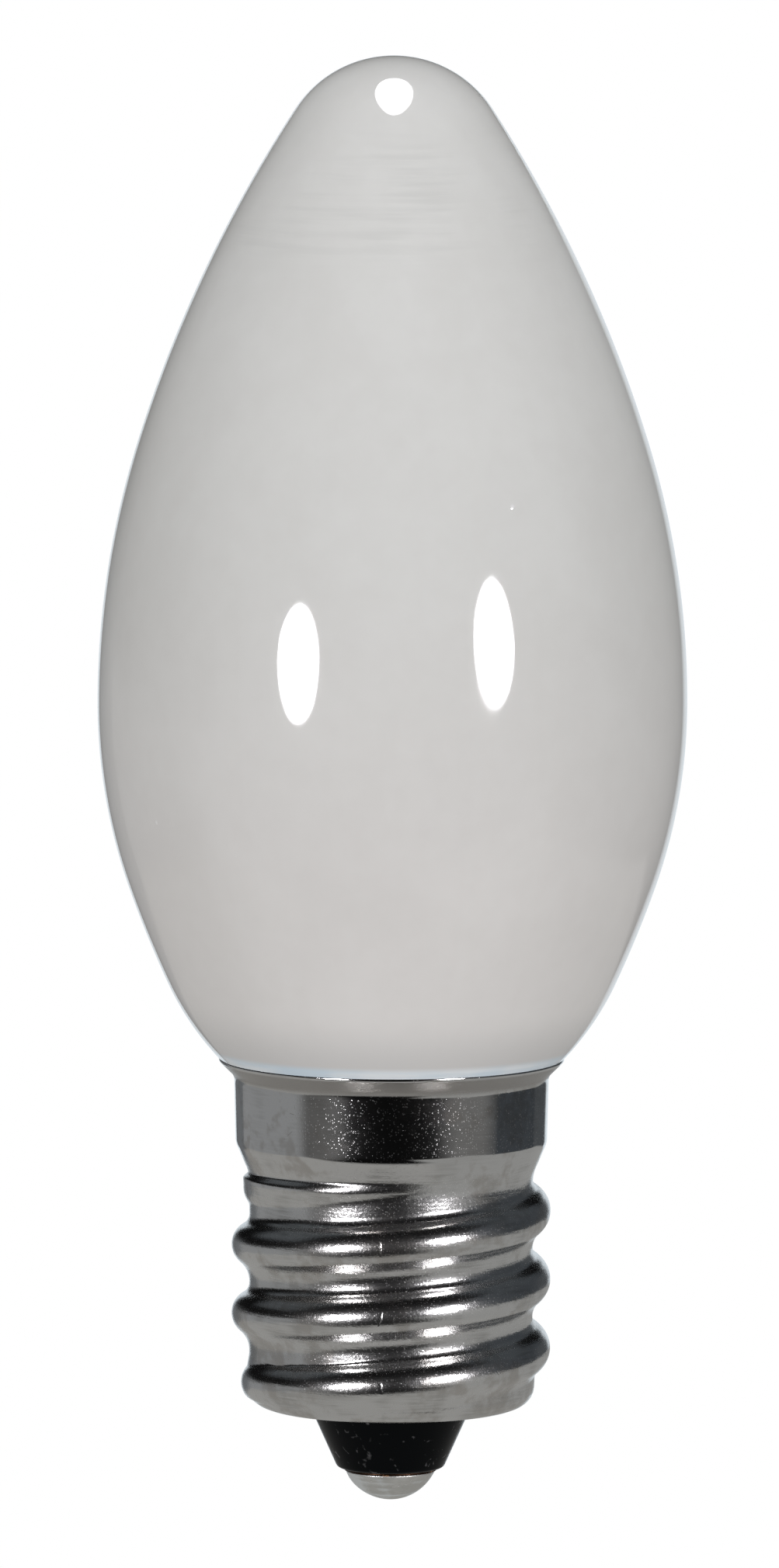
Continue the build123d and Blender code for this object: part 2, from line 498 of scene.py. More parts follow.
@dataclass(frozen=True)
class WhiteGlass(Finish):
    """Opaque white glass: glossy, faintly wavy, a little dusty, with painted shade and a painted reflection.

    Heights, depths and lengths are in mm. A name that ends in over gives where a change begins and ends.
    """

    slot: Slot = Slot.WHITE_GLASS
    colour: Colour = (0.805, 0.816, 0.79, 1.0)
    shade: Colour = (0.77, 0.777, 0.75, 1.0)
    # Painted light: the lower globe is a touch warmer and lighter than the upper.
    low_painted_light: Colour = (0.823, 0.816, 0.793, 1.0)
    low_painted_light_mottled: Colour = (0.788, 0.779, 0.755, 1.0)
    low_painted_light_over: Span = (21.0, 38.0)
    # Painted shade: the glass darkens towards its foot, where it meets the shell's rim.
    foot_painted_shade: Colour = (0.69, 0.69, 0.675, 1.0)
    foot_painted_shade_over: Span = (16.7, 18.8)
    # Painted reflection: a bluish band with pale streaks round the globe's foot stands in for the rim's
    # reflection.
    ring: Colour = (0.67, 0.80, 0.89, 1.0)
    rim_reflection_streak: Colour = (0.86, 0.92, 0.95, 1.0)
    rim_reflection_streak_over: Span = (0.1, 0.45)
    rim_reflection_over: Span = (16.54, 16.82)
    # Painted shade: darker lines along the drawn ripples below the tip.
    ripple_painted_shade: Colour = (0.735, 0.745, 0.72, 1.0)
    ripple_painted_shade_over: Span = (0.25, 0.55)
    drawn_low: Span = (45.2, 47.2)
    drawn_high: Span = (49.2, 51.2)
    ripple_pitch: float = 0.55
    ripple_wander: float = 9.0
    ripple_depth: float = 0.002
    wave_depth: float = 0.03
    dust: Colour = (0.95, 0.95, 0.95, 1.0)
    dust_depth: float = 0.02
    gloss: Span = (0.045, 0.10)
    smear_over: Span = (0.55, 1.0)
    smear_stretch: Point = (1.0, 1.0, 0.4)
    bending: float = 1.5

    def dress(self, wires: Dressing) -> None:
        """Lay the nodes.

        Args:
            wires: the material's wiring.
        """
        effects, place = wires.effects, wires.place
        _, _, height = wires.axes(place, 1 / MM)
        tone = wires.effect(effects.mottle, place, Scale=160.0)
        # Painted light: warmer and lighter below, by height.
        upper = wires.eased(height, self.low_painted_light_over)
        plain = wires.tint(upper, self.low_painted_light, self.colour)
        darker = wires.tint(upper, self.low_painted_light_mottled, self.shade)
        # Painted shade towards the globe's foot.
        foot = wires.eased(height, self.foot_painted_shade_over, FALLING)
        glass_with_painted_light = wires.tint(foot, wires.tint(tone, plain, darker), self.foot_painted_shade)
        # Painted reflection of the rim: a bluish, streaked band round the foot.
        rim_reflection_streaks = wires.effect(effects.streaks, place, Scale=260.0, Break=0.3)
        ring = wires.tint(wires.eased(rim_reflection_streaks, self.rim_reflection_streak_over), self.ring, self.rim_reflection_streak)
        body = wires.tint(wires.eased(height, self.rim_reflection_over, FALLING), glass_with_painted_light, ring)
        fall = wires.eased(height, self.drawn_high, FALLING)
        band = wires.times(wires.eased(height, self.drawn_low), fall)
        drawn = wires.effect(effects.streaks, place, Scale=210.0, Break=0.25)
        # Painted shade along the drawn ripples, in the band below the tip.
        ripple_painted_shade_mask = wires.times(wires.eased(drawn, self.ripple_painted_shade_over), band)
        with_ripple_painted_shade = wires.tint(ripple_painted_shade_mask, body, self.ripple_painted_shade)
        dust = wires.effect(effects.specks, place, Scale=700.0, Share=0.06, Radius=0.08)
        smears = wires.effect(effects.mottle, wires.stretched(place, self.smear_stretch), Scale=90.0)
        waves = wires.noise(place, scale=170.0, detail=1.0)
        wander = wires.times(wires.noise(place, scale=250.0), self.ripple_wander)
        phase = wires.math("MULTIPLY_ADD", height, 2 * math.pi / self.ripple_pitch, wander)
        ripple = wires.times(wires.math("SINE", phase), band)
        wires.shade(
            Base_Color=wires.tint(dust, with_ripple_painted_shade, self.dust),
            Roughness=wires.eased(smears, self.smear_over, self.gloss),
            IOR=self.bending,
            Normal=wires.relief(
                (waves, self.wave_depth), (ripple, self.ripple_depth), (dust, self.dust_depth)
            ),
        )


@dataclass(frozen=True)
class NickelPlate(Finish):
    """Nickel-plated sheet: bright, pitted, with rolling marks round it, nicks where the dies met and painted
    shade on the flare.

    Heights, radii and depths are in mm, and angles in degrees. A name that ends in over gives where a
    change begins and ends, and other pairs give the value on the collar and the one on the thread.
    """

    slot: Slot = Slot.NICKEL_PLATE
    colour: Colour = (0.742, 0.74, 0.732, 1.0)
    stain: Colour = (0.57, 0.55, 0.525, 1.0)
    stain_over: Span = (0.5, 1.0)
    rolling_mark: Colour = (0.53, 0.525, 0.51, 1.0)
    rolling_over: Span = (0.2, 0.6)
    rolling_share: Span = (0.4, 0.9)
    collar_over: Span = (12.5, 13.1)
    gloss: Span = (0.085, 0.19)
    pit_dullness: Span = (0.15, 0.12)
    haze: float = 0.03
    haze_over: Span = (0.4, 1.0)
    # Painted shade: the flare is painted darker; its duller gloss is the spun finish.
    flare_painted_shade: Colour = (0.47, 0.455, 0.435, 1.0)
    flare_gloss: float = 0.3
    flare_over: Span = (15.55, 15.75)
    lip_over: Span = (16.17, 16.23)
    line_share: Span = (0.15, 1.0)
    line_depth: float = 0.008
    grain_share: Span = (0.1, 1.0)
    grain_depth: float = 0.0055
    wave_depth: float = 0.012
    pit_depth: float = 0.001
    scratch_depth: float = 0.003
    nick_depth: float = 0.009
    nick_over: Span = (11.5, 12.5)
    crest_over: Span = (5.78, 5.81)
    seam_angle: float = -3.0
    seam_width: float = 0.8
    seam_wander: float = 3.724

    def dress(self, wires: Dressing) -> None:
        """Lay the nodes.

        Args:
            wires: the material's wiring.
        """
        effects, place = wires.effects, wires.place
        _, _, height = wires.axes(place, 1 / MM)
        thread = wires.eased(height, self.collar_over, FALLING)
        tone = wires.effect(effects.mottle, place, Scale=420.0)
        pits = wires.effect(effects.specks, place, Scale=13000.0, Share=0.6, Radius=0.48)
        rolled = wires.effect(effects.streaks, place, Scale=700.0, Break=0.4)
        scratches = wires.effect(effects.scratches, place, Scale=900.0, Width=0.008, Cover=0.62)
        body = wires.tint(wires.eased(tone, self.stain_over), self.colour, self.stain)
        rolling_share = wires.between(thread, self.rolling_share)
        worn = wires.times(wires.eased(rolled, self.rolling_over), rolling_share)
        marked = wires.tint(worn, body, self.rolling_mark)
        # The flare's band: a duller spun finish, and painted shade in its colour.
        spun_and_painted_shade = wires.eased(height, self.flare_over)
        flare = wires.times(spun_and_painted_shade, wires.eased(height, self.lip_over, FALLING))
        haze = wires.eased(tone, self.haze_over, (0.0, self.haze))
        duller = wires.math("MULTIPLY_ADD", flare, self.flare_gloss - self.gloss[0], haze)
        spotty = wires.times(pits, wires.between(thread, self.pit_dullness))
        plain = wires.math("ADD", wires.between(thread, self.gloss), duller)
        waves = wires.times(wires.noise(place, scale=520.0, detail=1.0), thread)
        lines = wires.times(rolled, wires.between(thread, self.line_share))
        grain = wires.times(wires.noise(place, scale=9000.0), wires.between(thread, self.grain_share))
        wires.shade(
            Base_Color=wires.tint(flare, marked, self.flare_painted_shade),
            Metallic=1.0,
            Roughness=wires.math("ADD", spotty, plain),
            Normal=wires.relief(
                (waves, self.wave_depth),
                (lines, self.line_depth),
                (grain, self.grain_depth),
                (wires.opposite(pits), self.pit_depth),
                (wires.opposite(scratches), self.scratch_depth),
                (self._nicks(wires), self.nick_depth),
            ),
        )

    def _nicks(self, wires: Dressing) -> Socket:
        """Draw the short upright nicks on the crests where the rolling dies met, at the front.

        The angle from the front is the arc tangent of x over -y. A nick is deepest at the seam's angle,
        wanders with the height and lies only where the wall is as far out as a crest.

        Args:
            wires: the material's wiring.

        Returns:
            A height that is 1 on the plain wall and less in a nick.
        """
        x, y, height = wires.axes(wires.place, 1 / MM)
        angle = wires.math("ARCTAN2", x, wires.times(y, -1.0))
        seam = math.radians(self.seam_angle)
        wander = math.radians(self.seam_wander)
        uneven = wires.noise(wires.place, scale=1100.0, detail=3.0)
        shift = wires.between(uneven, (-wander - seam, wander - seam))
        away = wires.math("ABSOLUTE", wires.math("ADD", angle, shift))
        line = wires.eased(away, (0.0, math.radians(self.seam_width)), FALLING)
        flat = wires.stretched(wires.place, (1 / MM, 1 / MM, 0.0))
        radius = wires.node("ShaderNodeVectorMath", {0: flat}, operation="LENGTH").outputs["Value"]
        crest = wires.eased(radius, self.crest_over)
        below_collar = wires.eased(height, self.nick_over, FALLING)
        return wires.opposite(wires.times(line, wires.times(crest, below_collar)))


@dataclass(frozen=True)
class BlackInsulator(Finish):
    """Moulded black insulator: glossy, with pale scratches and a little dust. The depth is in mm."""

    slot: Slot = Slot.BLACK_INSULATOR
    colour: Colour = (0.002, 0.0025, 0.003, 1.0)
    worn: Colour = (0.16, 0.16, 0.165, 1.0)
    gloss: Span = (0.2, 0.4)
    haze: float = 0.1
    sheen: float = 0.06
    mark_share: float = 0.5
    mark_depth: float = 0.01

    def dress(self, wires: Dressing) -> None:
        """Lay the nodes.

        Args:
            wires: the material's wiring.
        """
        effects, place = wires.effects, wires.place
        tone = wires.effect(effects.mottle, place, Scale=350.0)
        marks = wires.effect(effects.scratches, place, Scale=1500.0, Width=0.03, Cover=0.56)
        dust = wires.effect(effects.specks, place, Scale=2200.0, Share=0.2, Radius=0.17)
        wear = wires.math("MAXIMUM", wires.times(marks, self.mark_share), dust)
        dull = wires.math("MAXIMUM", wires.times(tone, self.haze), wear)
        wires.shade(
            Base_Color=wires.tint(wear, self.colour, self.worn),
            Roughness=wires.eased(dull, RISING, self.gloss),
            Specular_IOR_Level=self.sheen,
            Normal=wires.relief((wires.opposite(marks), self.mark_depth)),
        )


@dataclass(frozen=True)
class EyeletBrass(Finish):
    """Bare copper-coloured metal, darkened by tarnish and painted shade apart from a few bright places. The
    depth is in mm.
    """

    slot: Slot = Slot.EYELET_BRASS
    colour: Colour = (0.78, 0.40, 0.20, 1.0)
    # Partly tarnish, partly painted shade where the eyelet sits between the insulator and the solder.
    tarnish_and_shade: Colour = (0.03, 0.016, 0.01, 1.0)
    tarnish_and_shade_over: Span = (0.1, 0.3)
    gloss: Span = (0.2, 0.5)
    depth: float = 0.01

    def dress(self, wires: Dressing) -> None:
        """Lay the nodes.

        Args:
            wires: the material's wiring.
        """
        tone = wires.effect(wires.effects.mottle, wires.place, Scale=900.0)
        wires.shade(
            Base_Color=wires.tint(wires.eased(tone, self.tarnish_and_shade_over), self.colour, self.tarnish_and_shade),
            Metallic=1.0,
            Roughness=wires.eased(tone, RISING, self.gloss),
            Normal=wires.relief((tone, self.depth)),
        )


@dataclass(frozen=True)
class SolderMetal(Finish):
    """Tin solder: half bright, with flow streaks, flux stains and fine pits. Depths are in mm."""

    slot: Slot = Slot.SOLDER
    colour: Colour = (0.93, 0.965, 0.975, 1.0)
    stain: Colour = (0.66, 0.66, 0.63, 1.0)
    stain_over: Span = (0.32, 0.58)
    stain_tone: float = 0.25
    gloss: Span = (0.3, 0.55)
    flow_depth: float = 0.05
    pit_depth: float = 0.012

    def dress(self, wires: Dressing) -> None:
        """Lay the nodes.

        Args:
            wires: the material's wiring.
        """
        effects, place = wires.effects, wires.place
        tone = wires.effect(effects.mottle, place, Scale=700.0)
        flow = wires.effect(effects.streaks, place, Scale=300.0, Break=0.3)
        pits = wires.effect(effects.specks, place, Scale=7000.0, Share=0.15, Radius=0.4)
        stained = wires.eased(wires.math("MULTIPLY_ADD", tone, self.stain_tone, flow), self.stain_over)
        wires.shade(
            Base_Color=wires.tint(stained, self.colour, self.stain),
            Metallic=1.0,
            Roughness=wires.eased(tone, RISING, self.gloss),
            Normal=wires.relief((flow, self.flow_depth), (wires.opposite(pits), self.pit_depth)),
        )


def place_piece(
    name: str, mesh: bpy.types.Mesh, node: str, finish: Finish, effects: Effects
) -> bpy.types.Object:
    """Put a piece into the scene in place of its CAD node, dress it and report it.

    Args:
        name: name of the piece.
        mesh: its surface, already in place.
        node: the CAD node that it stands for.
        finish: its finish.
        effects: the shared effects.

    Returns:
        The piece.
    """
    wires = Dressing(finish.slot, effects)
    finish.dress(wires)
    mesh.materials.append(wires.material)
    piece = bpy.data.objects.new(name, mesh)
    bpy.context.scene.collection.objects.link(piece)
    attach(piece, BODY)
    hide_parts(node)
    log.info("%s stands for %s with %d faces", name, node, len(mesh.polygons))
    return piece


@dataclass(frozen=True)
class Globe:
    """The white globe, turned from tangent arcs over a neck that stands in the collar.

    Sizes are in mm. An arc is given by its radius and its turn in degrees.
    """

    effects: Effects
    widest_radius: float = 10.75
    flank: Span = (32.03, 17.25)
    crown: Span = (48.93, 15.8)
    belly: Span = (20.5, 19.44)
    taper: Span = (40.28, 5.31)
    throat_radius: float = 10.27
    neck_radius: float = 5.42
    neck_break: float = 0.2
    columns: int = 256
    step: float = 0.6

    def outline(self) -> np.ndarray:
        """Work out the half outline from the middle of the neck's foot to the tip.

        The tip's arc is as large as brings the outline to the axis, and the widest ring is as far below
        the tip as the three upper arcs rise. The throat's arc turns as far as brings it to the neck.

        Returns:
            Points as radius and height.
        """
        foot, top = node_span("globe")
        sides = [self.flank, self.crown]
        shoulder, rise = arc_chain((self.widest_radius, 0.0), 1, sides, self.step)[-1]
        turn = self.flank[1] + self.crown[1]
        slope = math.radians(turn)
        tip_radius = shoulder / math.cos(slope)
        start = (self.widest_radius, top - rise - tip_radius * (1 - math.sin(slope)))
        upper = [*sides, (tip_radius, 90 - turn)]
        bowl = [self.belly, self.taper]
        throat, _ = arc_chain(start, -1, bowl, self.step)[-1]
        into = math.radians(self.belly[1] + self.taper[1])
        end = math.acos(math.cos(into) - (throat - self.neck_radius) / self.throat_radius)
        lower = [*bowl, (self.throat_radius, math.degrees(end - into))]
        below = arc_chain(start, -1, lower, self.step)[::-1]
        above = arc_chain(start, 1, upper, self.step)[1:]
        broken = (self.neck_radius - self.neck_break, foot)
        neck = np.array([(0.0, foot), broken, (self.neck_radius, foot + self.neck_break)])
        return np.concatenate([neck, below, above])

    def build(self) -> None:
        """Make and dress the globe, and keep its bright underside out of the thread's reflections."""
        mesh = skinned("globe_surface", turned_grid(self.outline(), self.columns), Ends.POLES)
        globe = place_piece(GLOBE_PIECE, mesh, "globe", WhiteGlass(), self.effects)
        globe.visible_glossy = False


@dataclass(frozen=True)
class ScrewShell:
    """The rolled screw shell with its collar and flared rim. Sizes in mm, turns counted from +X."""

    effects: Effects
    sheet: float = 0.22
    core_radius: float = 5.18
    collar_radius: float = 5.69
    collar_taper: float = 0.06
    rim_radius: float = 6.36
    opening_radius: float = 3.03
    corner_fillet: float = 0.72
    skirt_radius: float = 5.28
    skirt_taper: float = 0.05
    skirt_height: float = 1.3
    skirt_rise: float = 0.6
    skirt_fillet: float = 0.3
    step_height: float = 8.55
    step_rise: float = 1.18
    step_fillet: float = 1.5
    shoulder_fillet: float = 0.7
    collar_height: float = 2.46
    flare_rise: float = 0.6
    flare_fillet: float = 0.42
    edge_fillet: float = 0.105
    pitch: float = 2.54
    depth: float = 0.65
    crest_fillet: float = 0.85
    root_above: float = 0.43
    root_below: float = 0.95
    first_crest: float = 2.13
    fade_in: Span = (-0.7, -0.25)
    fade_out: Span = (2.0, 2.45)
    last_sink: float = 0.43
    run_out: Span = (2.5, 2.85)
    fade_root: float = 0.12
    deepest_fade: float = 0.5
    step_blend: float = 0.35
    step_blend_drop: float = 0.6
    step_blend_ridge: float = 0.15
    lag: float = 0.18
    lag_over: Span = (2.0, 2.5)
    floor_clear: float = 0.02
    collar_clear: float = 0.005
    row_length: float = 0.06
    lining_length: float = 1.5
    lining_steps: int = 3
    columns: int = 300

    def outline(self) -> np.ndarray:
        """Work out the closed section of the wall: up its outside, over the rim and down its inside.

        The inside lies one sheet's thickness within the outside. Where the wall bends by an angle t, that
        raises the inner corner by the sheet times tan(t / 2).

        Returns:
            Points as radius and height, the last beside the first.
        """
        bottom, _ = node_span("screw_shell")
        skirt = bottom + self.skirt_height
        step = bottom + self.step_height
        collar = step + self.step_rise
        flare = collar + self.collar_height
        rim = flare + self.flare_rise
        collar_top = self.collar_radius + self.collar_taper
        slope = math.atan2(self.rim_radius - collar_top, self.flare_rise)
        rim_inside = (self.rim_radius - self.sheet * math.cos(slope), rim + self.sheet * math.sin(slope))
        inner_rise = self.sheet * math.tan(slope / 2)
        inner_flare = (collar_top - self.sheet, flare + inner_rise)
        lip_end = ((rim_inside[0] + inner_flare[0]) / 2, (rim_inside[1] + inner_flare[1]) / 2, 0)
        inside = self.core_radius - self.sheet
        outside = rounded_line([
            (self.opening_radius, bottom, 0),
            (self.skirt_radius - self.skirt_taper, bottom, self.corner_fillet),
            (self.skirt_radius, skirt, self.skirt_fillet),
            (self.core_radius, skirt + self.skirt_rise, self.skirt_fillet),
            (self.core_radius, step, self.step_fillet),
            (self.collar_radius, collar, self.shoulder_fillet),
            (collar_top, flare, self.flare_fillet),
            (self.rim_radius, rim, self.edge_fillet),
            (*rim_inside, self.edge_fillet),
            lip_end,
        ])
        lining = rounded_line([
            lip_end,
            (*inner_flare, self.flare_fillet),
            (self.collar_radius - self.sheet, collar + inner_rise, self.shoulder_fillet),
            (inside, step + inner_rise, self.step_fillet),
            (inside, bottom + self.sheet, self.corner_fillet - self.sheet),
            (self.opening_radius, bottom + self.sheet, 0),
        ], self.lining_steps)
        outer_rows = subdivided(outside, self.row_length)
        return np.concatenate([outer_rows, subdivided(lining, self.lining_length)[1:]])

    def ridge(self, angle: np.ndarray, height: np.ndarray) -> np.ndarray:
        """Work out how far the rolled thread stands out of the core.

        The section is a crest arc that runs into a root arc on each side, with the longer one below: with
        the centres crest + root apart, the root arc ends where half the width is the square root of
        (crest + root) squared less (crest + root - depth) squared. The crest climbs one pitch a turn and
        lags a little before its last half turn. It rises evenly out of the core at its lower end and
        sinks a part of the way back at its upper end, and a square root that rounds the larger of two
        heights blends it in.

        Args:
            angle: angle from +X, in radians.
            height: height in mm.

        Returns:
            The ridge's height over the core, in mm.
        """
        zero = node_span("screw_shell")[0] + self.first_crest
        fade_start, fade_end = self.fade_in
        best = np.zeros_like(angle)
        for count in range(math.floor(fade_start), math.ceil(self.run_out[1]) + 1):
            turn = angle / (2 * math.pi) + count
            crest_height = zero + self.pitch * (turn - self.lag * smooth_step(turn, *self.lag_over))
            root_fillet = np.where(height > crest_height, self.root_above, self.root_below)
            reach = self.crest_fillet + root_fillet
            half = np.sqrt(reach**2 - (reach - self.depth) ** 2)
            away = np.abs(height - crest_height)
            crest_arc = np.sqrt(np.clip(self.crest_fillet**2 - away**2, 0, None))
            crest = self.depth - self.crest_fillet + crest_arc
            root = root_fillet - np.sqrt(np.clip(root_fillet**2 - (half - away) ** 2, 0, None))
            on_crest = away < self.crest_fillet * half / reach
            form = np.where(on_crest, crest, np.where(away < half, root, 0))
            into = np.clip((fade_end - turn) / (fade_end - fade_start), 0, None)
            away_at_end = self.last_sink * smooth_step(turn, *self.fade_out)
            run_out = (self.depth - self.last_sink) * smooth_step(turn, *self.run_out)
            sink = np.maximum(self.depth * into, away_at_end + run_out)
            proud = form - sink
            blend = self.fade_root * np.minimum(sink, self.deepest_fade) * np.clip(2 - 2 * into, 0, 1)
            best = np.maximum(best, (proud + np.hypot(proud, blend)) / 2)
        return best

    def build(self) -> None:
        """Make and dress the shell.

        On the outside below the collar, the wall is the larger of itself and the core with the ridge on
        it. Near the step a square root rounds the corner between the two.
        """
        line = self.outline()
        grid = turned_grid(line, self.columns)
        wall, angle, height = np.moveaxis(grid, -1, 0)
        bottom, _ = node_span("screw_shell")
        step = bottom + self.step_height
        ridge = self.ridge(angle, height)
        stood = np.minimum(wall, self.core_radius) + ridge
        under_step = smooth_step(height, step - self.step_blend_drop, step)
        blend = self.step_blend * under_step * smooth_step(ridge, 0.0, self.step_blend_ridge)
        joined = (wall + stood + np.hypot(wall - stood, blend)) / 2
        outer_rows = np.arange(len(line)) < int(np.argmax(line[:, 1]))
        below_collar = wall < self.collar_radius - self.collar_clear
        on_wall = outer_rows[:, None] & (height > bottom + self.floor_clear) & below_collar
        grid[..., 0] = np.where(on_wall, joined, wall)
        mesh = skinned("shell_surface", grid, Ends.LOOP)
        place_piece("threaded_shell", mesh, "screw_shell", NickelPlate(), self.effects)


@dataclass(frozen=True)
class Insulator:
    """The moulded cone under the shell, with the flange that lies inside it. Sizes in mm."""

    effects: Effects
    root_radius: float = 2.98
    face_radius: float = 1.95
    face_fillet: float = 0.2
    flange_radius: float = 4.85
    flange_lift: float = 0.22
    flange_fillet: float = 0.1
    corner_fillet: float = 0.02
    bore_radius: float = 0.8
    row_length: float = 0.12
    columns: int = 160

    def build(self) -> None:
        """Turn the insulator from its rounded section and dress it."""
        face, top = node_span("insulator")
        shell, _ = node_span("screw_shell")
        floor = shell + self.flange_lift
        line = rounded_line([
            (self.bore_radius, face, 0),
            (self.face_radius, face, self.face_fillet),
            (self.root_radius, shell, self.flange_fillet),
            (self.root_radius, floor, self.corner_fillet),
            (self.flange_radius, floor, self.flange_fillet),
            (self.flange_radius, top, self.flange_fillet),
            (self.bore_radius, top, 0),
        ])
        grid = turned_grid(subdivided(line, self.row_length), self.columns)
        mesh = skinned("insulator_surface", grid, Ends.LOOP)
        place_piece("insulator_cone", mesh, "insulator", BlackInsulator(), self.effects)


@dataclass(frozen=True)
class CentreContact:
    """The riveted eyelet in the insulator and the drop of solder on it. Sizes in mm."""

    effects: Effects
    flange_radius: float = 1.7
    barrel_radius: float = 0.75
    lip_radius: float = 1.15
    sheet: float = 0.12
    edge_fillet: float = 0.05
    barrel_fillet: float = 0.02
    fillet_steps: int = 4
    row_length: float = 0.4
    drop_radius: float = 1.64
    drop_rows: int = 40
    plug_gap: float = 0.05
    lumps: int = 5
    lump_height: float = 0.02
    columns: int = 128
    seed: int = 7

    def build(self) -> None:
        """Make and dress the eyelet and the solder."""
        self.build_eyelet()
        self.build_drop()

    def build_eyelet(self) -> None:
        """Turn the eyelet from its rounded section and dress it."""
        low, top = node_span("contact_eyelet")
        face = low + self.sheet
        lip = top - self.sheet
        bore = self.barrel_radius - self.sheet
        line = rounded_line([
            (bore, low, 0),
            (self.flange_radius, low, self.edge_fillet),
            (self.flange_radius, face, self.edge_fillet),
            (self.barrel_radius, face, self.barrel_fillet),
            (self.barrel_radius, lip, self.barrel_fillet),
            (self.lip_radius, lip, self.edge_fillet),
            (self.lip_radius, top, self.edge_fillet),
            (bore, top, 0),
        ], self.fillet_steps)
        grid = turned_grid(subdivided(line, self.row_length), self.columns)
        mesh = skinned("eyelet_surface", grid, Ends.LOOP)
        place_piece("rivet_eyelet", mesh, "contact_eyelet", EyeletBrass(), self.effects)

    def build_drop(self) -> None:
        """Turn the solder dome, with a few broad lumps, over the plug that closes the barrel.

        The dome is the arc that is level at the tip and reaches the drop's radius r at its height h: its
        radius is (r squared + h squared) / 2 h, and it turns by twice the arc tangent of h / r. The lumps
        are cosine waves round the axis whose phases are seeded, strongest half way up.
        """
        _, top = node_span("solder_tip")
        low, _ = node_span("contact_eyelet")
        plug = self.barrel_radius - self.sheet - self.plug_gap
        bow = (self.drop_radius**2 + low**2) / (2 * low)
        along = np.linspace(0, 2 * math.atan2(low, self.drop_radius), self.drop_rows)
        dome = np.column_stack([bow * np.sin(along), bow * (1 - np.cos(along))])
        line = np.concatenate([dome, [(plug, low), (plug, top), (0.0, top)]])
        grid = turned_grid(line, self.columns)
        phases = np.random.default_rng(self.seed).uniform(0, 2 * math.pi, self.lumps)
        waves = sum(np.cos(k * grid[..., 1] + phase) / k for k, phase in enumerate(phases, 1))
        middle = np.sin(np.clip(grid[..., 2] / low, 0, 1) * math.pi)
        on_dome = np.arange(len(line)) < len(dome)
        grid[..., 0] *= 1 + np.where(on_dome[:, None], self.lump_height * waves * middle, 0)
        mesh = skinned("solder_surface", grid, Ends.POLES)
        place_piece("solder_drop", mesh, "solder_tip", SolderMetal(), self.effects)


class Seen(Enum):
    """What meets a light or a card."""

    CAMERA_AND_LIGHT = "the camera sees it white, and it lights dull surfaces"
    DULL_SURFACES = "it lights dull surfaces, and no gloss shows it"
    REFLECTION = "only glossy surfaces show it"
    GLOBE_ALONE = "it is linked to the globe, whose gloss shows it"


@dataclass(frozen=True)
class SoftLight:
    """A round soft light seen from the bulb at an azimuth from the camera's side and an elevation.

    Angles and spreads are in degrees and the distance is in mm.
    """

    name: str
    azimuth: float
    elevation: float
    wide: float
    high: float
    radiance: float
    seen: Seen
    distance: float = 500.0
    colour: Point = (0.985, 0.965, 1.0)

    def build(self, target: Vector, globe_only: bpy.types.Collection) -> None:
        """Hang the light.

        The light is an ellipse as wide and high as its spreads. An area light of power P and area A
        shines with a radiance of P / (4 A).

        Args:
            target: the point that it faces, in metres.
            globe_only: the collection that holds the globe alone.
        """
        lamp = bpy.data.lights.new(self.name, "AREA")
        lamp.shape = "ELLIPSE"
        lamp.size = 2 * self.distance * MM * math.tan(math.radians(self.wide / 2))
        lamp.size_y = 2 * self.distance * MM * math.tan(math.radians(self.high / 2))
        lamp.energy = self.radiance * math.pi * lamp.size * lamp.size_y
        lamp.color = self.colour
        light = bpy.data.objects.new(self.name, lamp)
        bpy.context.scene.collection.objects.link(light)
        side = math.radians(self.azimuth)
        rise = math.radians(self.elevation)
        level = math.cos(rise)
        away = Vector((math.sin(side) * level, -math.cos(side) * level, math.sin(rise)))
        turn = away.to_track_quat("Z", "Y").to_matrix().to_4x4()
        light.matrix_world = Matrix.Translation(target + away * self.distance * MM) @ turn
        light.visible_camera = False
        light.visible_diffuse = self.seen is Seen.DULL_SURFACES
        light.visible_glossy = self.seen is not Seen.DULL_SURFACES
        if self.seen is Seen.GLOBE_ALONE:
            light.light_linking.receiver_collection = globe_only


